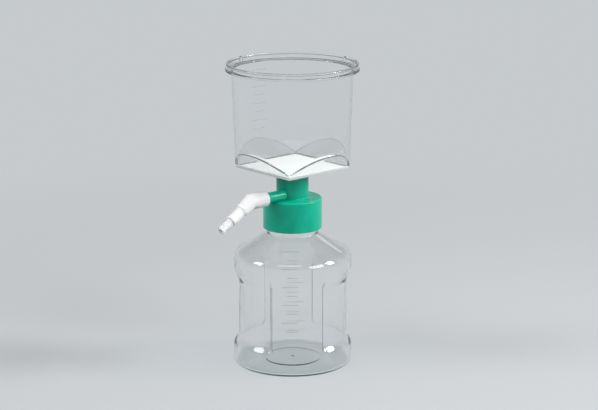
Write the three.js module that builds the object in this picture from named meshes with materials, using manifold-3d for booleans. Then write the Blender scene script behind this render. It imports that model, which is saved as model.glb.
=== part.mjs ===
// Vacuum filtration unit, 500 mL: a clear filter funnel on a green screw collar with a side
// port, screwed on a clear receiver bottle, with a white elbow for the vacuum hose.
// Millimetres, +Z up. The bottle's axis is the Z axis and its foot stands on Z = 0.
// The port points along -X, square to a side of the funnel's square floor, and its tube lies on
// the cap, against the riser.

import * as THREE from 'three';
import { mergeVertices } from 'three/addons/utils/BufferGeometryUtils.js';
import Module from 'manifold-3d';

const wasm = await Module();
wasm.setup();

// ---- Sizes -------------------------------------------------------------------------------

// Receiver bottle
const bodyRadius = 49.3;
const bodyHeight = 88.5; // foot to the start of the shoulder
const bottleWall = 1.8;
const footRound = 3;
const footRingInner = 38;
const pushUpRadius = 24;
const pushUpHeight = 1;
const gateMark = 0.6;
const shoulderRound = 11;
const shoulderSlope = 32; // degrees below level
const neckRadius = 21.2;
const neckWall = 1.9;
const neckHeight = 25;
const lipChamfer = 0.5;

// Hand grips: two shallow pockets, one each side, between the two label panels
const panelAngle = 53.5; // middle of one label panel, degrees from +X
const gripDepth = 4.3;
const gripBottom = 15.5;
const gripTop = 82.5;
const gripBottomRun = 9.5; // height of the curved wall at the pocket's lower end
const gripTopRun = 12.5;

// Screw thread between bottle and collar
const threadLead = 4;
const threadTurns = 1.5;
const threadHeight = 1.3;
const threadRoot = 2.2;
const threadCrest = 1.2;
const threadClearance = 0.4;
const threadDrop = 4; // lip down to the middle of the thread's upper end
const threadStart = 1.25; // degrees from +X

// Green collar
const gasketThickness = 1.8;
const gasketClearance = 0.6;
const skirtWall = 1.6;
const skirtLength = 25.7;
const capPlate = 2.4;
const capRound = 1.5;
const riserBore = 11.5;
const riserWall = 1.95;
const riserHeight = 24.2;
const riserFillet = 0.8;
const portRadius = 4.2;
const portBore = 2.2;
const portReach = 44.4; // axis of the bottle to the port's free end
const portStart = 12.6; // axis of the bottle to the port's closed end
const portEndWall = 1.5;
const portAside = 3; // port's axis from the bottle's, towards -Y
const portLift = 4; // port's axis above the cap
const ventRadius = 1.8; // hole from the port's bore down through the cap

// White elbow
const fitGap = 0.3;
const sleeveWall = 1.9;
const sleeveLength = 15.5;
const insertDepth = 12; // how far the port goes into the sleeve
const sleeveRound = 0.6;
const bendAngle = 30.8; // degrees below level
const nozzleBore = 2.2;
const shankLength = 12; // bend to the first step
const shankEndRadius = 5.4;
const middleLength = 13;
const middleRadius = 4.6;
const middleEndRadius = 4.5;
const tipLength = 12.4;
const tipRadius = 3.25;
const stepChamfer = 0.4;

// Support plate and membrane
const floorSide = 66;
const plateThickness = 2.2;
const membraneThickness = 0.4;
const membraneInset = 0.3;
const grooveField = 56;
const groovePitch = 4;
const grooveWidth = 2.6;
const grooveDepth = 0.9;
const gutterWidth = 7; // the groove across the others, over the drain
const gutterDepth = 1.2;
const plugDepth = 8;
const plugWall = 1.6;
const spoutRadius = 4.5;
const spoutBore = 3;
const spoutLength = 36;

// Funnel
const cupHeight = 85.5;
const cupRadius = 47.1; // at the floor
const cupDraft = 2.02; // degrees
const cupWall = 1.7;
const faceSlope = 45; // degrees, the four flat faces above the floor's sides
const lidSeatDepth = 5;
const lidLedge = 4; // width of the step the lid sits on
const bandWall = 1.1;
const beadProud = 0.9; // beyond the band
const beadHeight = 1.4;
const flangeProud = 1.8;
const flangeHeight = 1.6;
const flangeDepth = 5.8; // rim's top to the flange's underside
const beadEdge = 0.4; // small rounds of the bead and the flange
const lugWidth = 3.7;
const lugProud = 1.2; // beyond the band
const lugAngles = [102, 221.5, 353.7]; // degrees from +X

// Moulded graduations, one for each 50 mL
const markHeight = 0.6;
const markProud = 0.3;
const markMargin = 2; // kept free below the shoulder or the flange
const bottleMarkFirst = 8; // above the foot
const bottleMarkStep = 8.15;
const bottleMarkAngle = -10.7; // start of a mark, degrees from the panel's middle
const bottleMarkSweeps = [11.4, 16.7]; // short and long marks by turns, degrees
const cupMarkFirst = 23.6; // above the floor
const cupMarkStep = 7.05;
const cupMarkAngle = 84.1; // middle of a mark, degrees from +X
const cupMarkSweeps = [12.2, 17.5];

// Facets of the round work
const bodySegments = 80;
const cupSegments = 64;
const collarSegments = 48;
const tubeSegments = 24;

// ---- Levels and fits worked out from the sizes ---------------------------------------------

const degrees = Math.PI / 180;
const slope = Math.tan(shoulderSlope * degrees);
const shoulderNormal = 90 - shoulderSlope;
const shoulderCentre = bodyRadius - shoulderRound;
const shoulderEnd = {
  r: shoulderCentre + shoulderRound * Math.cos(shoulderNormal * degrees),
  z: bodyHeight + shoulderRound * Math.sin(shoulderNormal * degrees),
};
const neckRootZ = shoulderEnd.z + (shoulderEnd.r - neckRadius) * slope;
const lipZ = neckRootZ + neckHeight;
const ceilingZ = lipZ + gasketThickness;
const capTopZ = ceilingZ + capPlate;
const riserTopZ = capTopZ + riserHeight;
const plateTopZ = riserTopZ + plateThickness;
const cupFloorZ = plateTopZ + membraneThickness;
const rimTopZ = cupFloorZ + cupHeight;
const portZ = capTopZ + portLift;

const neckBore = neckRadius - neckWall;
const skirtBore = neckRadius + threadHeight + threadClearance;
const capRadius = skirtBore + skirtWall;
const riserRadius = riserBore + riserWall;
const sleeveBore = portRadius + fitGap;
const sleeveRadius = sleeveBore + sleeveWall;
const sleeveMouth = portReach - insertDepth;
const halfFloor = floorSide / 2;
const lidSeatZ = rimTopZ - lidSeatDepth;
const lidSeatRadius = cupRadiusAt(lidSeatZ) - cupWall + lidLedge;
const bandRadius = lidSeatRadius + bandWall;

// The grip's side walls fall between two neighbouring columns of the bottle's facets, which
// lie half a column to each side of the panel's middle.
const column = 360 / bodySegments;
const gripSideStart = 5.5 * column;
const gripSideEnd = 6.5 * column;

// ---- Tools ---------------------------------------------------------------------------------

const over = 1; // how far a cut runs past an open face, or a joined part into its neighbour

function solid(geometry) {
  const bare = new THREE.BufferGeometry();
  bare.setAttribute('position', geometry.getAttribute('position'));
  bare.setIndex(geometry.index);
  const merged = mergeVertices(bare, 1e-4);
  const corners = merged.index.array;
  const triangles = [];
  for (let i = 0; i < corners.length; i += 3) {
    const [a, b, c] = [corners[i], corners[i + 1], corners[i + 2]];
    if (a !== b && b !== c && c !== a) triangles.push(a, b, c);
  }
  const mesh = new wasm.Mesh({
    numProp: 3,
    vertProperties: Float32Array.from(merged.attributes.position.array),
    triVerts: Uint32Array.from(triangles),
  });
  return new wasm.Manifold(mesh);
}

function geometryOf(body) {
  const mesh = body.getMesh();
  const geometry = new THREE.BufferGeometry();
  geometry.setAttribute('position', new THREE.BufferAttribute(mesh.vertProperties, 3));
  geometry.setIndex(new THREE.BufferAttribute(mesh.triVerts, 1));
  geometry.computeVertexNormals();
  return geometry;
}

// A profile of [radius, height] pairs turned about Z, its first column at startAngle from +X.
function turned(profile, segments, startAngle = 0) {
  const points = profile.map(([r, z]) => new THREE.Vector2(r, z));
  const start = startAngle * degrees + Math.PI / 2;
  const geometry = new THREE.LatheGeometry(points, segments, start, Math.PI * 2);
  geometry.rotateX(Math.PI / 2);
  return geometry;
}

// Points of an arc in a profile, both ends included; angles in degrees from the outward radius.
function arc(r, z, radius, from, to, steps) {
  const points = [];
  for (let i = 0; i <= steps; i++) {
    const angle = (from + ((to - from) * i) / steps) * degrees;
    points.push([r + radius * Math.cos(angle), z + radius * Math.sin(angle)]);
  }
  return points;
}

// Heights of the graduations on a wall that ends at topZ.
function markHeights(firstZ, step, topZ) {
  const heights = [];
  for (let z = firstZ; z < topZ - markMargin; z += step) heights.push(z);
  return heights;
}

// A raised rib on a round wall, from one angle to another, with its middle at height z.
function mark(radius, from, to, z) {
  const outline = new THREE.Shape();
  outline.absarc(0, 0, radius + markProud, from * degrees, to * degrees, false);
  outline.absarc(0, 0, radius - markProud, to * degrees, from * degrees, true);
  const options = { depth: markHeight, bevelEnabled: false, curveSegments: 2 };
  return solid(new THREE.ExtrudeGeometry(outline, options).translate(0, 0, z - markHeight / 2));
}

// A right-hand thread: a bar of trapezoid section wrapped round Z and thinned out at both ends.
// Its root lies at rootRadius, its crest threadHeight further out, or further in if inward.
function threadRidge(rootRadius, bottomZ, inward) {
  const out = inward ? -1 : 1;
  const sunk = 0.4;
  const section = new THREE.Shape();
  section.moveTo(-sunk * out, -threadRoot / 2);
  section.lineTo(threadHeight * out, -threadCrest / 2);
  section.lineTo(threadHeight * out, threadCrest / 2);
  section.lineTo(-sunk * out, threadRoot / 2);
  const steps = Math.round(36 * threadTurns);
  const bar = new THREE.ExtrudeGeometry(section, { depth: 1, steps, bevelEnabled: false });
  const position = bar.getAttribute('position');
  const runOut = 3; // steps over which an end fades
  for (let i = 0; i < position.count; i++) {
    const along = position.getZ(i);
    const nearEnd = Math.min(along, 1 - along) * steps;
    const fade = Math.min(1, 0.25 + (0.75 * nearEnd) / runOut);
    const offset = position.getX(i) * out > 0 ? position.getX(i) * fade : position.getX(i);
    const turns = (1 - along) * threadTurns; // the bar runs from the upper end down
    const angle = threadStart * degrees + turns * Math.PI * 2;
    const radius = rootRadius + offset;
    const height = bottomZ + position.getY(i) + turns * threadLead;
    position.setXYZ(i, radius * Math.cos(angle), radius * Math.sin(angle), height);
  }
  return solid(bar);
}

// A rod on the port's axis, from one x to another.
function portRod(radius, from, to) {
  const geometry = new THREE.CylinderGeometry(radius, radius, Math.abs(to - from), tubeSegments);
  geometry.rotateZ(-Math.PI / 2);
  return solid(geometry.translate((from + to) / 2, -portAside, portZ));
}

// A rectangular block round the Z axis, its ends exactly at the two heights.
function slab(width, depth, bottomZ, topZ) {
  const geometry = new THREE.BoxGeometry(width, depth, topZ - bottomZ);
  const position = geometry.getAttribute('position');
  for (let i = 0; i < position.count; i++) {
    position.setZ(i, position.getZ(i) < 0 ? bottomZ : topZ);
  }
  return geometry;
}

// A round bar on the Z axis, or a ring if it has a bore.
function round(radius, bottomZ, topZ, segments, bore = 0) {
  const profile = [
    [bore, bottomZ],
    [radius, bottomZ],
    [radius, topZ],
    [bore, topZ],
  ];
  if (bore > 0) profile.push([bore, bottomZ]);
  return solid(turned(profile, segments));
}

// ---- Receiver bottle -------------------------------------------------------------------------

// 0 outside the grips and 1 on their floors, for an angle in degrees and a height.
function gripShare(angle, z) {
  const fromPanel = Math.abs(((((angle - panelAngle) % 180) + 270) % 180) - 90);
  const inSide = (fromPanel - gripSideStart) / (gripSideEnd - gripSideStart);
  const inEnd = Math.min((gripTop - z) / gripTopRun, (z - gripBottom) / gripBottomRun);
  const side = 1 - THREE.MathUtils.clamp(inSide, 0, 1);
  const end = 1 - THREE.MathUtils.clamp(inEnd, 0, 1);
  return 1 - THREE.MathUtils.smoothstep(Math.hypot(side, end), 0, 1);
}

// The straight side of the body, from the foot's round up to the shoulder, with rows of points
// close together where the grips curve.
function bodyWall(radius) {
  const rows = [footRound];
  for (let i = 0; i <= 3; i++) rows.push(gripBottom + (gripBottomRun * i) / 3);
  for (let i = 4; i >= 0; i--) rows.push(gripTop - (gripTopRun * i) / 4);
  return rows.map((z) => [radius, z]);
}

function bottleBody() {
  const inner = bodyRadius - bottleWall;
  const footCentre = bodyRadius - footRound;
  const innerRound = shoulderRound - bottleWall;
  const innerEnd = {
    r: shoulderCentre + innerRound * Math.cos(shoulderNormal * degrees),
    z: bodyHeight + innerRound * Math.sin(shoulderNormal * degrees),
  };
  const innerNeckZ = innerEnd.z + (innerEnd.r - neckBore) * slope;
  const pushUp = [
    [0, pushUpHeight],
    [pushUpRadius, pushUpHeight],
    [pushUpRadius + pushUpHeight, pushUpHeight / 2],
    [footRingInner, 0],
  ];
  const outside = [
    ...pushUp,
    ...arc(footCentre, footRound, footRound, -90, 0, 3).slice(0, -1),
    ...bodyWall(bodyRadius),
    ...arc(shoulderCentre, bodyHeight, shoulderRound, 0, shoulderNormal, 4),
    [neckRadius, neckRootZ],
    [neckRadius, lipZ - lipChamfer],
    [neckRadius - lipChamfer, lipZ],
  ];
  const inside = [
    [gateMark * 2, bottleWall + pushUpHeight],
    [pushUpRadius, bottleWall + pushUpHeight],
    [pushUpRadius + pushUpHeight, bottleWall + pushUpHeight / 2],
    [footRingInner, bottleWall],
    ...arc(footCentre, footRound, footRound - bottleWall, -90, 0, 2).slice(0, -1),
    ...bodyWall(inner),
    ...arc(shoulderCentre, bodyHeight, innerRound, 0, shoulderNormal, 3),
    [neckBore, innerNeckZ],
    [neckBore, lipZ],
  ];
  const axisTop = [0, bottleWall + pushUpHeight + gateMark];
  const profile = [...outside, ...inside.reverse(), axisTop];
  const geometry = turned(profile, bodySegments, panelAngle + column / 2);
  const position = geometry.getAttribute('position');
  for (let i = 0; i < position.count; i++) {
    const [x, y, z] = [position.getX(i), position.getY(i), position.getZ(i)];
    const radius = Math.hypot(x, y);
    if (z < gripBottom || z > gripTop || radius < inner - 0.01) continue;
    const share = gripShare(Math.atan2(y, x) / degrees, z);
    const scale = (radius - gripDepth * share) / radius;
    position.setXY(i, x * scale, y * scale);
  }
  return solid(geometry);
}

function receiverBottle() {
  const threadBottom = lipZ - threadDrop - threadTurns * threadLead;
  let bottle = bottleBody().add(threadRidge(neckRadius, threadBottom, false));
  for (const panel of [panelAngle, panelAngle + 180]) {
    const start = panel + bottleMarkAngle;
    for (const [i, z] of markHeights(bottleMarkFirst, bottleMarkStep, bodyHeight).entries()) {
      bottle = bottle.add(mark(bodyRadius, start, start + bottleMarkSweeps[i % 2], z));
    }
  }
  return bottle;
}

// ---- Collar: skirt, riser and port in one moulding --------------------------------------------

function filterCollar() {
  const skirtBottomZ = capTopZ - skirtLength;
  const outside = turned(
    [
      [0, skirtBottomZ],
      [capRadius, skirtBottomZ],
      ...arc(capRadius - capRound, capTopZ - capRound, capRound, 0, 90, 4),
      [riserRadius + riserFillet, capTopZ],
      [riserRadius, capTopZ + riserFillet],
      [riserRadius, riserTopZ],
      [0, riserTopZ],
    ],
    collarSegments,
  );
  const inside = turned(
    [
      [0, skirtBottomZ - over],
      [skirtBore, skirtBottomZ - over],
      [skirtBore, ceilingZ],
      [riserBore, ceilingZ],
      [riserBore, riserTopZ + over],
      [0, riserTopZ + over],
    ],
    collarSegments,
  );
  const port = portRod(portRadius, -portStart, -portReach);
  const boreStart = portStart + portEndWall;
  const bore = portRod(portBore, -boreStart, -portReach - over);
  const vent = round(ventRadius, ceilingZ - over, portZ, tubeSegments);
  const passage = bore.add(vent.translate([-boreStart - portBore, -portAside, 0]));
  const threadTop = lipZ - threadDrop - threadLead / 2;
  const ridge = threadRidge(skirtBore, threadTop - threadTurns * threadLead, true);
  return solid(outside).add(port).subtract(solid(inside)).subtract(passage).add(ridge);
}

function collarGasket() {
  return round(skirtBore - gasketClearance, lipZ, ceilingZ, collarSegments, neckBore);
}

// ---- Support plate: grooved floor, plug for the riser and drip spout --------------------------

function basePlate() {
  const plugRadius = riserBore - fitGap;
  const spoutEndZ = riserTopZ - spoutLength;
  const board = solid(slab(floorSide, floorSide, riserTopZ, plateTopZ));
  const plugBore = plugRadius - plugWall;
  const plug = round(plugRadius, riserTopZ - plugDepth, riserTopZ + over, collarSegments, plugBore);
  const spout = round(spoutRadius, spoutEndZ, riserTopZ + over, tubeSegments);
  const drain = round(spoutBore, spoutEndZ - over, plateTopZ + over, tubeSegments);
  let plate = board.add(plug).add(spout).subtract(drain);

  const grooveZ = plateTopZ - grooveDepth;
  const count = Math.floor(grooveField / groovePitch);
  for (let i = 0; i < count; i++) {
    const groove = slab(grooveField, grooveWidth, grooveZ, plateTopZ + over);
    groove.translate(0, (i - (count - 1) / 2) * groovePitch, 0);
    plate = plate.subtract(solid(groove));
  }
  const gutter = slab(gutterWidth, grooveField, plateTopZ - gutterDepth, plateTopZ + over);
  return plate.subtract(solid(gutter));
}

function membrane() {
  const side = floorSide - 2 * membraneInset;
  return solid(slab(side, side, plateTopZ, cupFloorZ));
}

// ---- Funnel: round cup with four flat faces down to a square floor, and a stepped rim -----------

// A square prism that widens upwards at faceSlope, with half side halfFloor - inset at the floor.
// It runs past the cup at both ends.
function widening(inset) {
  const [bottomZ, topZ] = [cupFloorZ - 2, rimTopZ + 2];
  const growth = 1 / Math.tan(faceSlope * degrees);
  const halfAt = (z) => halfFloor - inset + (z - cupFloorZ) * growth;
  const low = halfAt(bottomZ) * Math.SQRT2;
  const high = halfAt(topZ) * Math.SQRT2;
  const geometry = new THREE.CylinderGeometry(high, low, topZ - bottomZ, 4);
  geometry.rotateY(Math.PI / 4);
  geometry.rotateX(Math.PI / 2);
  return solid(geometry.translate(0, 0, (bottomZ + topZ) / 2));
}

function cupRadiusAt(z) {
  return cupRadius + (z - cupFloorZ) * Math.tan(cupDraft * degrees);
}

function funnelCup() {
  const flangeZ = rimTopZ - flangeDepth;
  const flangeRadius = bandRadius + flangeProud;
  const beadRadius = bandRadius + beadProud;
  const outside = turned(
    [
      [0, cupFloorZ],
      [cupRadius, cupFloorZ],
      [cupRadiusAt(flangeZ), flangeZ],
      [flangeRadius - beadEdge, flangeZ],
      [flangeRadius, flangeZ + beadEdge],
      [flangeRadius, flangeZ + flangeHeight - beadEdge],
      [flangeRadius - beadEdge, flangeZ + flangeHeight],
      [bandRadius, flangeZ + flangeHeight],
      [bandRadius, rimTopZ - beadHeight],
      [beadRadius, rimTopZ - beadHeight + beadEdge],
      [beadRadius, rimTopZ - beadEdge],
      [beadRadius - beadEdge, rimTopZ],
      [0, rimTopZ],
    ],
    cupSegments,
  );
  const inside = turned(
    [
      [0, cupFloorZ - over],
      [cupRadiusAt(cupFloorZ - over) - cupWall, cupFloorZ - over],
      [cupRadiusAt(lidSeatZ) - cupWall, lidSeatZ],
      [lidSeatRadius, lidSeatZ],
      [lidSeatRadius, rimTopZ + over],
      [0, rimTopZ + over],
    ],
    cupSegments,
  );
  const faceInset = cupWall / Math.sin(faceSlope * degrees);
  const shell = solid(outside).intersect(widening(0));
  const hollow = solid(inside).intersect(widening(faceInset));
  let cup = shell.subtract(hollow);

  // Small lugs across the band, from the flange up over half of the top bead.
  const lugInner = lidSeatRadius + bandWall / 2;
  const lugOuter = bandRadius + lugProud;
  const lugBottom = flangeZ + flangeHeight - beadEdge;
  const lugTop = rimTopZ - beadHeight / 2;
  for (const angle of lugAngles) {
    const lug = new THREE.BoxGeometry(lugOuter - lugInner, lugWidth, lugTop - lugBottom);
    lug.translate((lugInner + lugOuter) / 2, 0, (lugBottom + lugTop) / 2);
    lug.rotateZ(angle * degrees);
    cup = cup.add(solid(lug));
  }
  const heights = markHeights(cupFloorZ + cupMarkFirst, cupMarkStep, flangeZ);
  for (const [i, z] of heights.entries()) {
    const half = cupMarkSweeps[i % 2] / 2;
    cup = cup.add(mark(cupRadiusAt(z), cupMarkAngle - half, cupMarkAngle + half, z));
  }
  return cup;
}

// ---- Elbow: sleeve over the port, mitred bend and a nozzle with three steps --------------------

// Bends a straight turned tube, whose axis is Z from its mouth at Z = 0, down at the bend.
// The points of the profile at the bend itself land on the mitre between the two legs.
function bent(geometry) {
  const position = geometry.getAttribute('position');
  for (let i = 0; i < position.count; i++) {
    const along = position.getZ(i) - sleeveLength;
    const atMitre = Math.abs(along) < 1e-3;
    const share = atMitre ? 0.5 : Number(along > 0);
    const angle = share * bendAngle * degrees;
    const up = position.getX(i) / (atMitre ? Math.cos(angle) : 1);
    const x = -sleeveMouth - sleeveLength - along * Math.cos(angle) - up * Math.sin(angle);
    const z = portZ - along * Math.sin(angle) + up * Math.cos(angle);
    position.setXYZ(i, x, position.getY(i) - portAside, z);
  }
  return geometry;
}

function hoseConnector() {
  const bend = sleeveLength;
  const firstStep = bend + shankLength;
  const secondStep = firstStep + middleLength;
  const end = secondStep + tipLength;
  const stop = insertDepth + fitGap;
  const section = [
    [sleeveBore, 0],
    [sleeveRadius - sleeveRound, 0],
    [sleeveRadius, sleeveRound],
    [sleeveRadius, bend],
    [shankEndRadius, firstStep - stepChamfer],
    [shankEndRadius - stepChamfer, firstStep],
    [middleRadius, firstStep],
    [middleEndRadius, secondStep - stepChamfer],
    [middleEndRadius - stepChamfer, secondStep],
    [tipRadius, secondStep],
    [tipRadius, end - stepChamfer],
    [tipRadius - stepChamfer, end],
    [nozzleBore, end],
    [nozzleBore, bend],
    [nozzleBore, stop],
    [sleeveBore, stop],
    [sleeveBore, 0],
  ];
  return solid(bent(turned(section, tubeSegments)));
}

// ---- Assembly ----------------------------------------------------------------------------------

const clear = { color: 0xe9eff1, roughness: 0.05, metalness: 0, transparent: true, opacity: 0.35 };
const green = { color: 0x0aa384, roughness: 0.38, metalness: 0 };
const white = { color: 0xf4f5f2, roughness: 0.45, metalness: 0 };
const filter = { color: 0xfdfdfc, roughness: 0.9, metalness: 0 };
const elastomer = { color: 0xdfe2df, roughness: 0.7, metalness: 0 };

const pieces = [
  ['receiver_bottle', receiverBottle(), clear],
  ['collar_gasket', collarGasket(), elastomer],
  ['filter_collar', filterCollar(), green],
  ['base_plate', basePlate(), clear],
  ['membrane', membrane(), filter],
  ['funnel_cup', funnelCup(), clear],
  ['hose_connector', hoseConnector(), white],
];

const unit = new THREE.Group();
for (const [name, body, look] of pieces) {
  const mesh = new THREE.Mesh(geometryOf(body), new THREE.MeshStandardMaterial(look));
  mesh.name = name;
  unit.add(mesh);
}

export default unit;
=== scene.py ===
import math

import bmesh
import bpy
from mathutils import Matrix, Vector


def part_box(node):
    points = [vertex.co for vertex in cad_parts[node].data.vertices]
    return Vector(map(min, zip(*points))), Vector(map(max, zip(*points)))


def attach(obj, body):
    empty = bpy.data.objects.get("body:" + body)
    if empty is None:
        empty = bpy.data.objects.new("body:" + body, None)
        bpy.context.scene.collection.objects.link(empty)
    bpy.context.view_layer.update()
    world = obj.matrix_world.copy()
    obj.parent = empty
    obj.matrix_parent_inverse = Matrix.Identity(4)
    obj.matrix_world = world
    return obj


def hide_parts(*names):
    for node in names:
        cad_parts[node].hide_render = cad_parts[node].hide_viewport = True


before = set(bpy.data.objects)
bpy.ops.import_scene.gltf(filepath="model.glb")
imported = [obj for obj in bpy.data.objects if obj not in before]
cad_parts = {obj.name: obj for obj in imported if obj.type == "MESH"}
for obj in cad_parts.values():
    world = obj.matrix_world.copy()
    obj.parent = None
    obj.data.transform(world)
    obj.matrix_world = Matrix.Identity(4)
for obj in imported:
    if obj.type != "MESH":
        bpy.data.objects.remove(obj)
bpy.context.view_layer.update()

# ---- Camera and studio ------------------------------------------------------------------
# A long lens looks slightly down on the unit, with the port to the left and a corner of the
# funnel's square floor towards the viewer. Pale floor, pale surroundings and six soft boxes.

swing = math.radians(-41.9)  # round the Z axis, from looking along +Y
dip = math.radians(14.06)
distance = 1.606
lens = 116.5
axis_height = 0.1341  # where the line of sight passes the bottle's axis
axis_offset = 0.0054  # how far the bottle's axis stands left of the line of sight

to_right = Vector((math.cos(swing), math.sin(swing), 0))
to_viewer = Vector((math.sin(swing), -math.cos(swing), 0))
line_of_sight = (to_viewer * math.cos(dip) + Vector((0, 0, math.sin(dip)))).normalized()
aim = Vector((0, 0, axis_height)) + to_right * axis_offset

camera = bpy.data.objects.new("camera", bpy.data.cameras.new("camera"))
camera.data.lens = lens
camera.data.clip_start = 0.01
camera.location = aim + line_of_sight * distance
camera.rotation_euler = line_of_sight.to_track_quat("Z", "Y").to_euler()
bpy.context.scene.collection.objects.link(camera)
bpy.context.scene.camera = camera
bpy.context.scene.view_settings.view_transform = "Standard"


def linear(code):
    """An sRGB hex colour as linear red, green, blue and alpha."""
    shares = [int(code[i:i + 2], 16) / 255 for i in (1, 3, 5)]
    return [c / 12.92 if c <= 0.04045 else ((c + 0.055) / 1.055) ** 2.4 for c in shares] + [1]


def add(tree, kind, settings, links={}):
    """Adds a node, gives it its settings and joins other nodes' outputs to its inputs."""
    node = tree.nodes.new("ShaderNode" + kind)
    for name, value in settings.items():
        if isinstance(name, int) or name in node.inputs:
            node.inputs[name].default_value = value
        else:
            setattr(node, name, value)
    for name, source in links.items():
        tree.links.new(source, node.inputs[name])
    return node


def bare_tree(owner):
    """The empty node tree of a material or a world."""
    owner.use_nodes = True
    owner.node_tree.nodes.clear()
    return owner.node_tree


# The surroundings are pale where they are seen, mirrored or seen through the clear walls, and go
# over into a grey ceiling that gives the clear walls their edges. The rest is a plain light.
backdrop_colour = linear("#c6cacd")
ceiling_colour = linear("#4c5053")
ceiling_start, ceiling_full = 0.08, 0.5  # sine of the angle above level
world = bpy.data.worlds.new("studio")
bpy.context.scene.world = world
tree = bare_tree(world)
ray = add(tree, "LightPath", {})
place = add(tree, "TexCoord", {})
direction = add(tree, "SeparateXYZ", {}, {0: place.outputs["Generated"]})
overhead = add(tree, "MapRange", {"interpolation_type": "SMOOTHSTEP", "From Min": ceiling_start,
                                  "From Max": ceiling_full}, {"Value": direction.outputs["Z"]})
room = add(tree, "Mix", {"data_type": "RGBA", 6: backdrop_colour, 7: ceiling_colour},
           {0: overhead.outputs[0]})
seen = add(tree, "Math", {"operation": "MAXIMUM"},
           {0: ray.outputs["Is Transmission Ray"], 1: ray.outputs["Is Glossy Ray"]})
light = add(tree, "Background", {"Color": linear("#ffffff"), "Strength": 0.13})
around = add(tree, "Background", {"Strength": 1.0}, {"Color": room.outputs[2]})
backdrop = add(tree, "Background", {"Color": backdrop_colour, "Strength": 1.0})
indirect = add(tree, "MixShader", {}, {0: seen.outputs[0], 1: light.outputs[0],
                                       2: around.outputs[0]})
whole = add(tree, "MixShader", {}, {0: ray.outputs["Is Camera Ray"], 1: indirect.outputs[0],
                                    2: backdrop.outputs[0]})
add(tree, "OutputWorld", {}, {"Surface": whole.outputs[0]})


unit_middle = 0.12  # the height that the lamps point at


def soft_box(name, right, forward, height, width, tall, power, mirrored=True):
    """A rectangular area lamp of so many watts that faces the unit. Its place and size are in
    metres, as the viewer sees them. Gloss may mirror it, but clear walls show the even room."""
    lamp = bpy.data.lights.new(name, "AREA")
    lamp.shape = "RECTANGLE"
    lamp.size, lamp.size_y = width, tall
    lamp.energy = power
    holder = bpy.data.objects.new(name, lamp)
    holder.location = to_right * right + to_viewer * forward + Vector((0, 0, height))
    facing = holder.location - Vector((0, 0, unit_middle))
    holder.rotation_euler = facing.to_track_quat("Z", "Y").to_euler()
    holder.visible_camera = False
    holder.visible_transmission = False
    holder.visible_glossy = mirrored
    bpy.context.scene.collection.objects.link(holder)


soft_box("right_box", 2.1, 0.07, 1.36, 0.65, 0.8, 42)
soft_box("fill_box", 1.35, 1.05, 1.1, 0.9, 0.7, 16)
soft_box("left_box", -2.05, 0.4, 1.6, 0.9, 0.9, 25)
soft_box("front_box", -0.1, 0.9, 1.3, 1.1, 0.3, 3.5)
soft_box("back_box", 0.1, -1.2, 0.9, 1.2, 0.4, 2.5)
soft_box("top_box", -1.1, 0.75, 1.7, 0.8, 0.8, 8.5, mirrored=False)

mm = 0.001
floor_size = 9.0
fade_start, fade_end = 0.15, 0.8  # metres from the bottle's axis
floor_mesh = bpy.data.meshes.new("floor")
half = floor_size / 2
floor_mesh.from_pydata([(-half, -half, 0), (half, -half, 0), (half, half, 0), (-half, half, 0)],
                       [], [(0, 1, 2, 3)])
floor = bpy.data.objects.new("floor", floor_mesh)
bpy.context.scene.collection.objects.link(floor)
paper = bpy.data.materials.new("studio_paper")
tree = bare_tree(paper)
place = add(tree, "TexCoord", {})
fibre = 1.1 * mm
grain = add(tree, "TexNoise", {"Scale": 1 / fibre, "Detail": 3.0},
            {"Vector": place.outputs["Object"]})
rough = add(tree, "Bump", {"Strength": 0.1, "Distance": 0.2 * mm},
            {"Height": grain.outputs["Fac"]})
ray = add(tree, "LightPath", {})
tone = add(tree, "Mix", {"data_type": "RGBA", 6: linear("#bec1c4"), 7: linear("#97999b")},
           {0: ray.outputs["Is Diffuse Ray"]})
surface = add(tree, "BsdfPrincipled", {"Roughness": 0.8, "Specular IOR Level": 0.2},
              {"Base Color": tone.outputs[2], "Normal": rough.outputs[0]})
# Away from the unit the paper goes over into the even backdrop.
far = add(tree, "VectorMath", {"operation": "LENGTH"}, {0: place.outputs["Object"]})
fade = add(tree, "MapRange", {"interpolation_type": "SMOOTHSTEP", "From Min": fade_start,
                              "From Max": fade_end}, {"Value": far.outputs["Value"]})
backdrop_or_bounce = add(tree, "Mix", {"data_type": "RGBA", 6: backdrop_colour,
                                       7: linear("#8c8f91")},
                         {0: ray.outputs["Is Diffuse Ray"]})
even = add(tree, "Emission", {"Strength": 1.0}, {"Color": backdrop_or_bounce.outputs[2]})
paper_or_backdrop = add(tree, "MixShader", {}, {0: fade.outputs[0], 1: surface.outputs[0],
                                                2: even.outputs[0]})
add(tree, "OutputMaterial", {}, {"Surface": paper_or_backdrop.outputs[0]})
floor_mesh.materials.append(paper)


# ---- Receiver bottle --------------------------------------------------------------------
# The 500 mL bottle under the funnel: crystal-clear polystyrene, blown thin and evenly, with a
# pocket on each side for the hand, raised graduations on both labels and a threaded neck.


def arc(centre, radius, start, end, steps):
    """Points [radius, height] of an arc in an outline, angles in degrees from outwards."""
    points = []
    for i in range(steps + 1):
        angle = math.radians(start + (end - start) * i / steps)
        points.append((centre[0] + radius * math.cos(angle),
                       centre[1] + radius * math.sin(angle)))
    return points


def piece_of(name, mesh_data):
    """Makes a linked object of a bmesh, with its faces turned outwards."""
    bmesh.ops.recalc_face_normals(mesh_data, faces=mesh_data.faces)
    mesh = bpy.data.meshes.new(name)
    mesh_data.to_mesh(mesh)
    mesh_data.free()
    piece = bpy.data.objects.new(name, mesh)
    bpy.context.scene.collection.objects.link(piece)
    return piece


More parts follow.
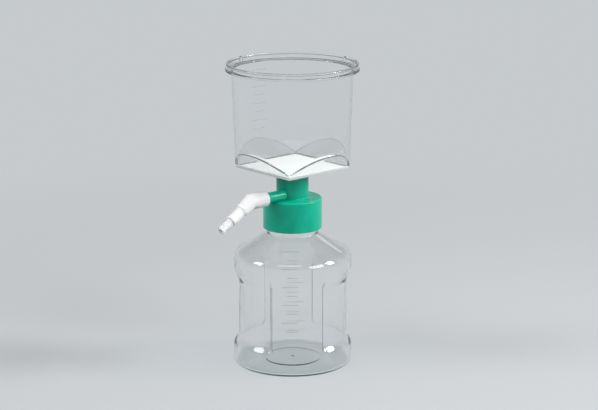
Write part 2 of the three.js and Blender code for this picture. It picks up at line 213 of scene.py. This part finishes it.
def braced(outline):
    """Adds a point close to each end of a long straight, so that the smooth shading of a round
    doesn't run out into the flat wall beside it and bend what shows through."""
    reach, long_straight = 0.25, 1.6
    points = [outline[0]]
    for a, b in zip(outline, outline[1:]):
        length = math.hypot(b[0] - a[0], b[1] - a[1])
        if length > long_straight:
            for share in (reach / length, 1 - reach / length):
                points.append((a[0] + (b[0] - a[0]) * share, a[1] + (b[1] - a[1]) * share))
        points.append(b)
    return points


def turned(name, outline, columns, shaped=None):
    """A body turned about Z from its outline in mm. The outline is a closed ring, or runs from
    the axis to the axis. shaped(radius, height, angle) may move a point in its own plane."""
    mesh_data = bmesh.new()
    rings = []
    outline = braced(outline)
    for radius, height in outline:
        ring = []
        for i in range(columns if radius > 0 else 1):
            angle = 2 * math.pi * i / columns
            r, z = shaped(radius, height, angle) if shaped else (radius, height)
            ring.append(mesh_data.verts.new((r * math.cos(angle) * mm, r * math.sin(angle) * mm,
                                             z * mm)))
        rings.append(ring)
    if outline[0][0] > 0:
        rings.append(rings[0])
    for low, high in zip(rings, rings[1:]):
        for i in range(columns):
            j = i + 1
            corners = [low[i % len(low)], low[j % len(low)], high[j % len(high)],
                       high[i % len(high)]]
            mesh_data.faces.new(list(dict.fromkeys(corners)))
    return piece_of(name, mesh_data)


def combined(piece, other, operation):
    """Joins or cuts a piece with another one, which is used up."""
    modifier = piece.modifiers.new(operation, "BOOLEAN")
    modifier.operation = operation
    modifier.solver = "EXACT"
    modifier.object = other
    view = bpy.context.evaluated_depsgraph_get()
    mesh = bpy.data.meshes.new_from_object(piece.evaluated_get(view))
    piece.modifiers.clear()
    old, piece.data = piece.data, mesh
    bpy.data.meshes.remove(old)
    mesh.name = piece.name
    bpy.data.meshes.remove(other.data)
    return piece


def finished(piece, material, body, node):
    """Smooths a piece, gives it its material, ties it to its body and hides the CAD part it stands
    for.
    """
    piece.data.shade_smooth()
    piece.data.set_sharp_from_angle(angle=math.radians(35))
    piece.data.materials.clear()
    piece.data.materials.append(material)
    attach(piece, body)
    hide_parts(node)


def thread(name, root, low, inward):
    """A right-hand thread ridge in mm, from its lower end: a trapezoid swept round Z on a root
    radius and thinned out at both ends."""
    lead, turns, height, sunk = 4.0, 1.5, 1.3, 0.4
    root_half, crest_half = 1.1, 0.6
    start = math.radians(1.25)
    end_share = 0.25  # of the height, where the ridge begins
    steps = 160
    fade_steps = 14
    out = -1 if inward else 1
    mesh_data = bmesh.new()
    sections = []
    for i in range(steps + 1):
        fade = min(1, end_share + (1 - end_share) * min(i, steps - i) / fade_steps)
        angle = start + 2 * math.pi * turns * i / steps
        middle = low + lead * turns * i / steps
        section = []
        for offset, rise in ((-sunk, -root_half), (height * fade, -crest_half),
                             (height * fade, crest_half), (-sunk, root_half)):
            r = (root + out * offset) * mm
            section.append(mesh_data.verts.new((r * math.cos(angle), r * math.sin(angle),
                                                (middle + rise) * mm)))
        sections.append(section)
    for a, b in zip(sections, sections[1:]):
        for i in range(4):
            mesh_data.faces.new((a[i], a[(i + 1) % 4], b[(i + 1) % 4], b[i]))
    mesh_data.faces.new(sections[0])
    mesh_data.faces.new(sections[-1])
    return piece_of(name, mesh_data)


def ribs(name, places):
    """Raised graduation ribs in mm, one for each (wall radius, height, start, sweep)."""
    tall, proud, sunk, steps = 0.6, 0.3, 0.3, 12
    mesh_data = bmesh.new()
    for wall, height, start, sweep in places:
        sections = []
        for i in range(steps + 1):
            angle = math.radians(start + sweep * i / steps)
            section = []
            for r, z in ((wall - sunk, -tall / 2), (wall + proud / 3, -tall / 2),
                         (wall + proud, -tall / 5), (wall + proud, tall / 5),
                         (wall + proud / 3, tall / 2), (wall - sunk, tall / 2)):
                section.append(mesh_data.verts.new((r * math.cos(angle) * mm,
                                                    r * math.sin(angle) * mm, (height + z) * mm)))
            sections.append(section)
        for a, b in zip(sections, sections[1:]):
            for i in range(6):
                mesh_data.faces.new((a[i], a[(i + 1) % 6], b[(i + 1) % 6], b[i]))
        mesh_data.faces.new(sections[0])
        mesh_data.faces.new(sections[-1])
    return piece_of(name, mesh_data)


bottle_top_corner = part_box("receiver_bottle")[1]
body_radius = bottle_top_corner.x / mm
wall = 1.8
foot_round = 3.0
foot_ring = 38.0  # inner radius of the flat ring it stands on
push_up_radius, push_up = 24.0, 1.0  # the base is pushed up inside the ring
gate_radius, gate = 1.0, 0.6  # the button in the middle of the base
shoulder_start = 88.5
shoulder_round = 11.0
shoulder_slope = math.radians(32)
neck_radius = 21.2
neck_wall = 1.9
neck_fillet = 1.0
lip = bottle_top_corner.z / mm
lip_round = 0.5
thread_low = lip - 10

panel_angle = 53.5  # the middle of one label, in degrees
grip_depth, grip_bottom, grip_top = 4.3, 15.5, 82.5
grip_bottom_run, grip_top_run = 9.5, 12.5
grip_side_start, grip_side_end = 24.75, 29.25  # degrees from the middle of a label
label_first, label_step, label_marks = 8, 8.15, 10
label_mark_start, label_sweeps = -10.7, (11.4, 16.7)  # degrees; short and long marks by turns


def gripped(radius, height, angle):
    """Draws the wall in over the two hand grips, by the same form as the frame's bottle."""
    if not grip_bottom < height < grip_top or radius < body_radius - 2 * wall:
        return radius, height
    turn = math.degrees(angle) - panel_angle
    from_panel = abs((turn + 90) % 180 - 90)
    in_side = (from_panel - grip_side_start) / (grip_side_end - grip_side_start)
    in_end = min((grip_top - height) / grip_top_run, (height - grip_bottom) / grip_bottom_run)
    side = 1 - min(max(in_side, 0), 1)
    end = 1 - min(max(in_end, 0), 1)
    away = min(math.hypot(side, end), 1)
    return radius - grip_depth * (1 - away * away * (3 - 2 * away)), height


def bottle_outline():
    """The bottle's wall in mm, from the middle of its foot outside and back down inside."""
    row_step = 1.5
    rows = int((shoulder_start - 5) / row_step)
    wall_rows = [foot_round + 1 + i * row_step for i in range(rows)]
    corner = body_radius - shoulder_round
    tilt = 90 - math.degrees(shoulder_slope)
    inner = body_radius - wall
    outside = [(0, push_up), (push_up_radius - 1, push_up), (push_up_radius, 0.85 * push_up)]
    outside += [(push_up_radius + 1, 0.4 * push_up), (push_up_radius + 2.5, 0.2 * push_up)]
    outside += [(foot_ring, 0)]
    outside += arc((body_radius - foot_round, foot_round), foot_round, -90, 0, 8)
    outside += [(body_radius, z) for z in wall_rows]
    outside += arc((corner, shoulder_start), shoulder_round, 0, tilt, 16)
    end = outside[-1]
    root = end[1] + (end[0] - neck_radius) * math.tan(shoulder_slope)
    outside += arc((neck_radius + neck_fillet, root + 0.1), neck_fillet,
                   270 - math.degrees(shoulder_slope), 180, 5)
    outside += arc((neck_radius - lip_round, lip - lip_round), lip_round, 0, 90, 4)
    inside = arc((neck_radius - neck_wall + lip_round, lip - lip_round), lip_round, 90, 180, 4)
    inner_end = arc((corner, shoulder_start), shoulder_round - wall, tilt, tilt, 1)[0]
    inner_root = inner_end[1] + (inner_end[0] - neck_radius + neck_wall) * math.tan(shoulder_slope)
    inside += arc((neck_radius - neck_wall + 2 * neck_fillet, inner_root + 0.1),
                  2 * neck_fillet, 180, 270 - math.degrees(shoulder_slope), 5)
    inside += arc((corner, shoulder_start), shoulder_round - wall, tilt, 0, 14)
    inside += [(inner, z) for z in reversed(wall_rows)]
    inside += arc((body_radius - foot_round, foot_round), foot_round - wall, 0, -90, 5)
    base = [(r, wall + z) for r, z in reversed(outside[1:6])]
    gate_top = wall + push_up + gate
    inside += base + [(1.3 * gate_radius, wall + push_up), (gate_radius, gate_top - gate / 3)]
    inside += [(gate_radius / 2, gate_top), (0, gate_top)]
    return outside + inside


bottle = turned("receiver_bottle_wall", bottle_outline(), 320, gripped)
marks = [(body_radius, label_first + label_step * i, panel_angle + side + label_mark_start,
          label_sweeps[i % 2])
         for side in (0, 180) for i in range(label_marks)]
bottle = combined(bottle, ribs("marks", marks), "UNION")
bottle = combined(bottle, thread("thread", neck_radius, thread_low, False), "UNION")

# Polystyrene: glass-clear with a hard gloss. Blowing leaves long, very shallow waves that bend
# what is seen through the wall, and handling leaves a thin haze of fine scuffs.
polystyrene = bpy.data.materials.new("blown_polystyrene")
tree = bare_tree(polystyrene)
place = add(tree, "TexCoord", {})
stretch = add(tree, "Mapping", {"Scale": (1, 1, 0.25)}, {"Vector": place.outputs["Object"]})
wave_length = 14 * mm
waves = add(tree, "TexNoise", {"Scale": 1 / wave_length, "Detail": 1.0},
            {"Vector": stretch.outputs[0]})
scuff_length = 1.5 * mm
scuffs = add(tree, "TexNoise", {"Scale": 1 / scuff_length, "Detail": 4.0},
             {"Vector": place.outputs["Object"]})
haze = add(tree, "MapRange", {"From Min": 0.45, "From Max": 0.8, "To Min": 0.015,
                              "To Max": 0.07}, {"Value": scuffs.outputs["Fac"]})
uneven = add(tree, "Bump", {"Strength": 0.6, "Distance": 0.12 * mm},
             {"Height": waves.outputs["Fac"]})
surface = add(tree, "BsdfPrincipled",
              {"Base Color": linear("#fcfdfd"), "IOR": 1.57, "Transmission Weight": 1.0},
              {"Roughness": haze.outputs[0], "Normal": uneven.outputs[0]})


def clear_to_lamps(tree, surface):
    """Lets the light of lamps and room through a clear wall with little loss, so its shadow
    stays faint."""
    ray = add(tree, "LightPath", {})
    light = add(tree, "Math", {"operation": "MAXIMUM"},
                {0: ray.outputs["Is Shadow Ray"], 1: ray.outputs["Is Diffuse Ray"]})
    passing = add(tree, "BsdfTransparent", {"Color": linear("#f8fafa")})
    either = add(tree, "MixShader", {}, {0: light.outputs[0], 1: surface.outputs[0],
                                         2: passing.outputs[0]})
    add(tree, "OutputMaterial", {}, {"Surface": either.outputs[0]})


clear_to_lamps(tree, surface)
finished(bottle, polystyrene, "bottle", "receiver_bottle")


# ---- Gasket -------------------------------------------------------------------------------
# A pale ring of closed-cell foam in the roof of the collar. It seals on the bottle's lip.

gasket_low, gasket_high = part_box("collar_gasket")
gasket_outer = gasket_high.x / mm
gasket_inner = neck_radius - neck_wall
gasket_floor, gasket_roof = gasket_low.z / mm, gasket_high.z / mm
edge = 0.3
outline = arc((gasket_inner + edge, gasket_floor + edge), edge, 180, 270, 3)
outline += arc((gasket_outer - edge, gasket_floor + edge), edge, -90, 0, 3)
outline += arc((gasket_outer - edge, gasket_roof - edge), edge, 0, 90, 3)
outline += arc((gasket_inner + edge, gasket_roof - edge), edge, 90, 180, 3)
gasket = turned("foam_gasket", outline, 128)

# Polyethylene foam: chalky white skin over fine closed cells.
foam = bpy.data.materials.new("polyethylene_foam")
tree = bare_tree(foam)
place = add(tree, "TexCoord", {})
cell = 0.25 * mm
cells = add(tree, "TexVoronoi", {"Scale": 1 / cell}, {"Vector": place.outputs["Object"]})
tone = add(tree, "ValToRGB", {}, {"Fac": cells.outputs["Distance"]})
tone.color_ramp.elements[0].color = linear("#d5d9d5")
tone.color_ramp.elements[1].color = linear("#eceeea")
pits = add(tree, "Bump", {"Strength": 0.5, "Distance": 0.05 * mm},
           {"Height": cells.outputs["Distance"]})
surface = add(tree, "BsdfPrincipled", {"Roughness": 0.85, "Subsurface Weight": 0.1},
              {"Base Color": tone.outputs[0], "Normal": pits.outputs[0]})
add(tree, "OutputMaterial", {}, {"Surface": surface.outputs[0]})
finished(gasket, foam, "gasket", "collar_gasket")


# ---- Filter collar ------------------------------------------------------------------------
# The green screw collar with its riser and vacuum port: one polypropylene moulding. The port
# runs out over the cap to the left and carries the hose elbow.

collar_low, collar_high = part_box("filter_collar")
skirt_bottom = collar_low.z / mm
riser_top = collar_high.z / mm
cap_radius = collar_high.y / mm
skirt_bore = cap_radius - 1.6
skirt_edge = 0.3
ceiling = gasket_roof
cap_top = ceiling + 2.4
cap_round = 1.5
riser_radius, riser_bore = 13.45, 11.5
riser_fillet, riser_edge = 0.8, 0.25
port_height = cap_top + 4
port_aside = 3.0  # the port's axis passes the bottle's at this distance
port_radius, port_bore = 4.5, 2.2
port_start = 12.6  # the closed end, in the riser's wall
port_reach = -collar_low.x / mm
port_nose, port_edge = 0.6, 0.4  # rounds of the closed and the open end
bore_start = port_start + 1.5
vent_radius = 1.8  # the hole from the port's bore down through the cap


def rod(name, outline, columns):
    """A body turned about the port's axis. Its outline gives radius and distance to the left."""
    piece = turned(name, outline, columns)
    piece.data.transform(Matrix.Translation((0, -port_aside * mm, port_height * mm))
                         @ Matrix.Rotation(math.radians(-90), 4, "Y"))
    return piece


outline = arc((skirt_bore + skirt_edge, skirt_bottom + skirt_edge), skirt_edge, 180, 270, 3)
outline += arc((cap_radius - 0.4, skirt_bottom + 0.4), 0.4, -90, 0, 4)
outline += arc((cap_radius - cap_round, cap_top - cap_round), cap_round, 0, 90, 14)
outline += arc((riser_radius + riser_fillet, cap_top + riser_fillet), riser_fillet, 270, 180, 6)
outline += arc((riser_radius - riser_edge, riser_top - riser_edge), riser_edge, 0, 90, 3)
outline += [(riser_bore, riser_top), (riser_bore, ceiling), (skirt_bore, ceiling)]
collar = turned("screw_collar", outline, 192)

outline = arc((port_radius - port_nose, port_start + port_nose), port_nose, 270, 360, 6)
outline += arc((port_radius - port_edge, port_reach - port_edge), port_edge, 0, 90, 4)
port = rod("port", [(0, port_start)] + outline + [(0, port_reach)], 64)
collar = combined(collar, port, "UNION")
bore = rod("bore", [(0, bore_start), (port_bore, bore_start),
                    (port_bore, port_reach + 1), (0, port_reach + 1)], 48)
collar = combined(collar, bore, "DIFFERENCE")
vent = turned("vent", [(0, ceiling - 1), (vent_radius, ceiling - 1), (vent_radius, port_height),
                       (0, port_height)], 48)
vent.data.transform(Matrix.Translation((-(bore_start + port_bore) * mm, -port_aside * mm, 0)))
collar = combined(collar, vent, "DIFFERENCE")
below_bottle_thread = 2  # half a lead, so that one ridge runs midway between the other's turns
collar = combined(collar, thread("thread", skirt_bore, thread_low - below_bottle_thread, True),
                  "UNION")

# Polypropylene: a deep sea green with a satin, slightly waxy skin. The mould leaves a fine
# even texture, and the flow of the melt a very faint cloudiness.
polypropylene = bpy.data.materials.new("moulded_polypropylene")
tree = bare_tree(polypropylene)
place = add(tree, "TexCoord", {})
cloud_size = 9 * mm
clouds = add(tree, "TexNoise", {"Scale": 1 / cloud_size, "Detail": 3.0},
             {"Vector": place.outputs["Object"]})
tone = add(tree, "ValToRGB", {}, {"Fac": clouds.outputs["Fac"]})
tone.color_ramp.elements[0].position = 0.3
tone.color_ramp.elements[0].color = linear("#03a98b")
tone.color_ramp.elements[1].position = 0.7
tone.color_ramp.elements[1].color = linear("#04b595")
grain_size = 0.35 * mm
grain = add(tree, "TexNoise", {"Scale": 1 / grain_size, "Detail": 2.0},
            {"Vector": place.outputs["Object"]})
sheen = add(tree, "MapRange", {"To Min": 0.12, "To Max": 0.2}, {"Value": grain.outputs["Fac"]})
skin = add(tree, "Bump", {"Strength": 0.25, "Distance": 0.02 * mm},
           {"Height": grain.outputs["Fac"]})
surface = add(tree, "BsdfPrincipled", {"IOR": 1.49, "Specular IOR Level": 0.27,
                                       "Subsurface Weight": 0.1,
                                       "Subsurface Radius": (0.5, 1.0, 0.8),
                                       "Subsurface Scale": 1.5 * mm},
              {"Base Color": tone.outputs[0], "Roughness": sheen.outputs[0],
               "Normal": skin.outputs[0]})
add(tree, "OutputMaterial", {}, {"Surface": surface.outputs[0]})
finished(collar, polypropylene, "filter_top", "filter_collar")


# ---- Support plate ------------------------------------------------------------------------
# The clear square plate under the membrane: injection-moulded polystyrene with drain grooves,
# a plug that seals in the collar's riser and a long drip spout down its middle.

plate_low, plate_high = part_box("base_plate")
half_side = plate_high.x / mm
plate_top = plate_high.z / mm
plate_bottom = riser_top
spout_end = plate_low.z / mm
plate_edge = 0.3
groove_field, groove_pitch, grooves = 56, 4, 14
groove_width, groove_depth = 2.6, 0.9
gutter_width, gutter_depth = 7, 1.2  # the groove across the others, over the drain
plug_radius, plug_wall = riser_bore - 0.3, 1.6
plug_end = plate_bottom - 8
spout_radius, spout_bore = 4.5, 3.0
sunk = 0.5  # how far plug and spout run up into the plate


def block(name, half_x, half_y, bottom, top):
    """A rectangular block round the Z axis, in mm."""
    mesh_data = bmesh.new()
    bmesh.ops.create_cube(mesh_data, size=1)
    for corner in mesh_data.verts:
        corner.co = Vector((corner.co.x * 2 * half_x, corner.co.y * 2 * half_y,
                            bottom if corner.co.z < 0 else top)) * mm
    return piece_of(name, mesh_data)


def eased(piece, width, segments):
    """Rounds every edge of a plain block by a small width in mm."""
    mesh_data = bmesh.new()
    mesh_data.from_mesh(piece.data)
    bmesh.ops.bevel(mesh_data, geom=mesh_data.edges[:], offset=width * mm, segments=segments,
                    affect="EDGES", profile=0.5)
    mesh_data.to_mesh(piece.data)
    mesh_data.free()
    return piece


plate = eased(block("support_plate", half_side, half_side, plate_bottom, plate_top),
              plate_edge, 3)
for i in range(grooves):
    groove = block("groove", groove_field / 2, groove_width / 2, plate_top - groove_depth,
                   plate_top + 1)
    aside = (i - (grooves - 1) / 2) * groove_pitch
    groove.data.transform(Matrix.Translation((0, aside * mm, 0)))
    plate = combined(plate, groove, "DIFFERENCE")
gutter = block("gutter", gutter_width / 2, groove_field / 2, plate_top - gutter_depth,
               plate_top + 1)
plate = combined(plate, gutter, "DIFFERENCE")
plug = turned("plug", [(plug_radius - plug_wall, plug_end), (plug_radius - 0.3, plug_end),
                       (plug_radius, plug_end + 0.5), (plug_radius, plate_bottom + sunk),
                       (plug_radius - plug_wall, plate_bottom + sunk)], 96)
plate = combined(plate, plug, "UNION")
spout = turned("spout", [(0, spout_end), (spout_radius - 0.4, spout_end),
                         (spout_radius, spout_end + 0.4), (spout_radius, plate_bottom + sunk),
                         (0, plate_bottom + sunk)], 64)
plate = combined(plate, spout, "UNION")
drain = turned("drain", [(0, spout_end - 1), (spout_bore, spout_end - 1),
                         (spout_bore, plate_top + 1), (0, plate_top + 1)], 64)
plate = combined(plate, drain, "DIFFERENCE")

# Polystyrene again, here injection-moulded: flatter than the blown wall, with the same gloss
# and faint flow lines.
moulded = bpy.data.materials.new("moulded_polystyrene")
tree = bare_tree(moulded)
place = add(tree, "TexCoord", {})
stretch = add(tree, "Mapping", {"Scale": (1, 1, 0.06)}, {"Vector": place.outputs["Object"]})
streak_width = 5 * mm
streaks = add(tree, "TexNoise", {"Scale": 1 / streak_width, "Detail": 0.5},
              {"Vector": stretch.outputs[0]})
scuff_length = 1.2 * mm
scuffs = add(tree, "TexNoise", {"Scale": 1 / scuff_length, "Detail": 4.0},
             {"Vector": place.outputs["Object"]})
haze = add(tree, "MapRange", {"From Min": 0.45, "From Max": 0.8, "To Min": 0.01,
                              "To Max": 0.06}, {"Value": scuffs.outputs["Fac"]})
flow = add(tree, "Bump", {"Strength": 0.5, "Distance": 0.02 * mm},
           {"Height": streaks.outputs["Fac"]})
surface = add(tree, "BsdfPrincipled",
              {"Base Color": linear("#fcfdfd"), "IOR": 1.57, "Transmission Weight": 1.0},
              {"Roughness": haze.outputs[0], "Normal": flow.outputs[0]})
clear_to_lamps(tree, surface)

# The plate itself is spark-eroded matt and a little milky, so its edge is a pale line.
matt = bpy.data.materials.new("matt_polystyrene")
tree = bare_tree(matt)
place = add(tree, "TexCoord", {})
grit = 0.3 * mm
grits = add(tree, "TexNoise", {"Scale": 1 / grit, "Detail": 3.0},
            {"Vector": place.outputs["Object"]})
frost = add(tree, "MapRange", {"To Min": 0.32, "To Max": 0.5}, {"Value": grits.outputs["Fac"]})
etched = add(tree, "Bump", {"Strength": 0.3, "Distance": 0.02 * mm},
             {"Height": grits.outputs["Fac"]})
surface = add(tree, "BsdfPrincipled",
              {"Base Color": linear("#eef1f0"), "IOR": 1.57, "Transmission Weight": 0.45},
              {"Roughness": frost.outputs[0], "Normal": etched.outputs[0]})
clear_to_lamps(tree, surface)
finished(plate, matt, "filter_top", "base_plate")


# ---- Membrane -----------------------------------------------------------------------------
# A square of microporous filter film, welded round its edge between the plate and the funnel.
# It lies flat and is brilliant white.

film_low, film_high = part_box("membrane")
film_edge = 0.1
film = eased(block("filter_membrane", film_high.x / mm, film_high.y / mm,
                   film_low.z / mm, film_high.z / mm), film_edge, 2)

# Polyethersulfone film: dead matt white, with a fine felt-like grain and, where it rests on
# the ribs of the plate, the slightest shading.
membrane = bpy.data.materials.new("polyethersulfone_membrane")
tree = bare_tree(membrane)
place = add(tree, "TexCoord", {})
pore = 0.4 * mm  # the real pores are too fine to show
pores = add(tree, "TexNoise", {"Scale": 1 / pore, "Detail": 5.0, "Roughness": 0.7},
            {"Vector": place.outputs["Object"]})
band_pitch = math.pi / 10  # of the wave texture's bands at scale 1
ribbing = add(tree, "TexWave", {"Scale": band_pitch / (groove_pitch * mm),
                                "bands_direction": "Y", "Distortion": 0.4},
              {"Vector": place.outputs["Object"]})
tone = add(tree, "ValToRGB", {}, {"Fac": pores.outputs["Fac"]})
tone.color_ramp.elements[0].color = linear("#f1f3f1")
tone.color_ramp.elements[1].color = linear("#fbfbfa")
felt = add(tree, "Bump", {"Strength": 0.4, "Distance": 0.03 * mm},
           {"Height": pores.outputs["Fac"]})
sag = add(tree, "Bump", {"Strength": 0.15, "Distance": 0.05 * mm},
          {"Height": ribbing.outputs["Fac"], "Normal": felt.outputs[0]})
surface = add(tree, "BsdfPrincipled", {"Roughness": 0.92, "Specular IOR Level": 0.25,
                                       "Subsurface Weight": 0.1,
                                       "Subsurface Scale": 0.5 * mm},
              {"Base Color": tone.outputs[0], "Normal": sag.outputs[0]})
add(tree, "OutputMaterial", {}, {"Surface": surface.outputs[0]})
finished(film, membrane, "filter_top", "membrane")


# ---- Funnel -------------------------------------------------------------------------------
# The clear cup that takes the liquid: injection-moulded polystyrene, round at the rim and
# drawn in by four flat faces to a square floor. The rim has a bead, a flange and three lugs.

cup_low, cup_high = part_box("funnel_cup")
cup_floor, rim_top = cup_low.z / mm, cup_high.z / mm
floor_radius, cup_wall = 47.1, 1.7
draft = math.tan(math.radians(2.02))
face_half = half_side
fold_round = 1.8
fold_ridge, fold_ridge_half = 0.35, 0.6  # the fine line that the mould leaves along each fold
faced_height = 22.0  # the part of the wall that the flat faces reach into
ledge = 4.0  # width of the step that a lid sits on
seat = rim_top - 5
lid_radius = floor_radius + (seat - cup_floor) * draft - cup_wall + ledge
band_radius = lid_radius + 1.1
flange = rim_top - 5.8  # its underside
flange_proud, flange_height, flange_edge, flange_fillet = 1.8, 1.6, 0.4, 0.6
bead_round = 0.85
inner_edge = 0.5
lug_depth, lug_width, lug_edge = 1.7, 3.7, 0.45
lug_angles = (102, 221.5, 353.7)  # degrees from +X
scale_first, scale_step, scale_marks = 23.6, 7.05, 8
scale_angle, scale_sweeps = 84.1, (12.2, 17.5)  # degrees; short and long marks by turns


def squared(radius, height, angle):
    """Draws the wall in to the flat faces. In the faced part a point's height is nominal: half
    of it stands for the fold between face and cone, so that a row of points follows the fold."""
    share = (height - cup_floor) / faced_height
    if share > 1:
        return radius, height
    outside = radius > floor_radius - cup_wall / 2
    foot = floor_radius - (0 if outside else cup_wall)
    face_foot = face_half - (0 if outside else cup_wall * math.sqrt(2))
    turn = math.cos((angle + math.pi / 4) % (math.pi / 2) - math.pi / 4)
    fold = (foot * turn - face_foot) / (1 - draft * turn)
    rise = 2 * share * fold if share < 0.5 else fold + (2 * share - 1) * (faced_height - fold)
    cone = foot + rise * draft
    face = (face_foot + rise) / turn
    from_fold = abs(cone - face)
    near = max(fold_round - from_fold, 0) / fold_round
    ridge = fold_ridge * max(1 - (from_fold / fold_ridge_half) ** 2, 0) if outside else 0
    return min(cone, face) - near * near * fold_round / 4 + ridge, cup_floor + rise


def cup_outline():
    """The funnel's wall in mm, from the floor up outside, over the rim and down inside."""
    steps = [i / 14 for i in range(-14, 15)]
    rows = [cup_floor + faced_height * (1 + t * abs(t)) / 2 for t in steps]  # close at the fold
    outside = [(floor_radius + (z - cup_floor) * draft, z) for z in rows]
    under = flange - 0.8
    outside += [(floor_radius + (under - cup_floor) * draft, under)]
    outside += arc((floor_radius + (flange - cup_floor) * draft + flange_fillet,
                    flange - flange_fillet), flange_fillet, 180, 90, 4)
    rim = band_radius + flange_proud - flange_edge
    outside += arc((rim, flange + flange_edge), flange_edge, -90, 0, 4)
    outside += arc((rim, flange + flange_height - flange_edge), flange_edge, 0, 90, 4)
    outside += [(band_radius + 0.2, flange + flange_height)]
    outside += [(band_radius, flange + flange_height + 0.2), (band_radius, rim_top - 2)]
    outside += arc((band_radius + 0.05, rim_top - bead_round), bead_round, -80, 90, 12)
    inside = arc((lid_radius + 0.4, rim_top - inner_edge), inner_edge, 90, 180, 4)
    inside += [(lid_radius, seat + 0.3), (lid_radius - 0.3, seat)]
    inside += arc((lid_radius - ledge + 0.4, seat - 0.4), 0.4, 90, 180, 3)
    inside += [(r - cup_wall, z) for r, z in reversed(outside[:len(rows)])]
    return outside + inside


cup = turned("funnel_wall", cup_outline(), 384, squared)
marks = []
for i in range(scale_marks):
    rise = scale_first + scale_step * i
    sweep = scale_sweeps[i % 2]
    marks.append((floor_radius + rise * draft, cup_floor + rise, scale_angle - sweep / 2, sweep))
cup = combined(cup, ribs("marks", marks), "UNION")
for angle in lug_angles:
    lug = eased(block("lug", lug_depth / 2, lug_width / 2, flange + 1.2, rim_top - 0.7),
                lug_edge, 3)
    lug.data.transform(Matrix.Rotation(math.radians(angle), 4, "Z")
                       @ Matrix.Translation(((band_radius + 0.35) * mm, 0, 0)))
    cup = combined(cup, lug, "UNION")
finished(cup, moulded, "filter_top", "funnel_cup")


# ---- Hose elbow ---------------------------------------------------------------------------
# The white polyethylene elbow on the port. A sleeve slides over the port, a mitred bend turns
# down, and three steps take vacuum hose of different bores.

elbow_near_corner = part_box("hose_connector")[1]
sleeve_mouth = -elbow_near_corner.x / mm
sleeve_radius = elbow_near_corner.y / mm + port_aside
sleeve_bore = port_radius
sleeve_round = 0.6
bend_at, bend = 15.5, math.radians(30.8)
stop = 12.3  # the end of the port's socket
nozzle_bore = 1.8
steps = ((12.0, 5.4), (13.0, 4.5), (12.25, 3.25))  # length and end radius: shank, middle, tip
step_start = (0, 4.6, 3.25)  # radius at a step's start; the shank goes on from the sleeve
step_edge = 0.25


def elbow_outline():
    """The straight tube in mm before it is bent, from its mouth: radius and distance along."""
    outline = [(sleeve_bore, 0.3), (sleeve_bore + 0.3, 0)]
    outline += arc((sleeve_radius - sleeve_round, sleeve_round), sleeve_round, -90, 0, 5)
    outline += [(sleeve_radius, bend_at + near) for near in (-0.3, 0, 0.3)]  # a crisp corner
    along = bend_at
    for (length, radius), start in zip(steps, step_start):
        if start:
            outline += [(start, along)]
        along += length
        outline += arc((radius - step_edge, along - step_edge), step_edge, 0, 90, 4)
    outline += [(nozzle_bore + 0.2, along), (nozzle_bore, along - 0.2)]
    outline += [(nozzle_bore, bend_at), (nozzle_bore, stop), (sleeve_bore, stop)]
    return outline


def bent(piece):
    """Turns the tube from upright to lie along the port and bends it down at the mitre."""
    for corner in piece.data.vertices:
        along = corner.co.z / mm - bend_at
        turn = bend if along > 0 else 0
        by_mitre = abs(along) < 0.5
        lean = bend / 2 if by_mitre else turn
        up = corner.co.x / mm / (math.cos(bend / 2) if by_mitre else 1)
        x = -sleeve_mouth - bend_at - along * math.cos(turn) - up * math.sin(lean)
        z = port_height - along * math.sin(turn) + up * math.cos(lean)
        corner.co = Vector((x * mm, corner.co.y - port_aside * mm, z * mm))
    return piece


elbow = bent(turned("hose_elbow", elbow_outline(), 96))

# Polyethylene: milky white, soft satin, so thin steps glow a little. Its skin has the fine
# pebble of a spark-eroded mould.
polyethylene = bpy.data.materials.new("moulded_polyethylene")
tree = bare_tree(polyethylene)
place = add(tree, "TexCoord", {})
pebble_size = 0.5 * mm
pebble = add(tree, "TexNoise", {"Scale": 1 / pebble_size, "Detail": 2.0},
             {"Vector": place.outputs["Object"]})
cloud_size = 5 * mm
clouds = add(tree, "TexNoise", {"Scale": 1 / cloud_size, "Detail": 2.0},
             {"Vector": place.outputs["Object"]})
tone = add(tree, "ValToRGB", {}, {"Fac": clouds.outputs["Fac"]})
tone.color_ramp.elements[0].color = linear("#f6f7f4")
tone.color_ramp.elements[1].color = linear("#fbfcfa")
sheen = add(tree, "MapRange", {"To Min": 0.36, "To Max": 0.5}, {"Value": pebble.outputs["Fac"]})
skin = add(tree, "Bump", {"Strength": 0.3, "Distance": 0.03 * mm},
           {"Height": pebble.outputs["Fac"]})
surface = add(tree, "BsdfPrincipled", {"IOR": 1.51, "Specular IOR Level": 0.35,
                                       "Subsurface Weight": 1.0,
                                       "Subsurface Radius": (1.0, 1.0, 0.9),
                                       "Subsurface Scale": 4 * mm},
              {"Base Color": tone.outputs[0], "Roughness": sheen.outputs[0],
               "Normal": skin.outputs[0]})
add(tree, "OutputMaterial", {}, {"Surface": surface.outputs[0]})
finished(elbow, polyethylene, "connector", "hose_connector")
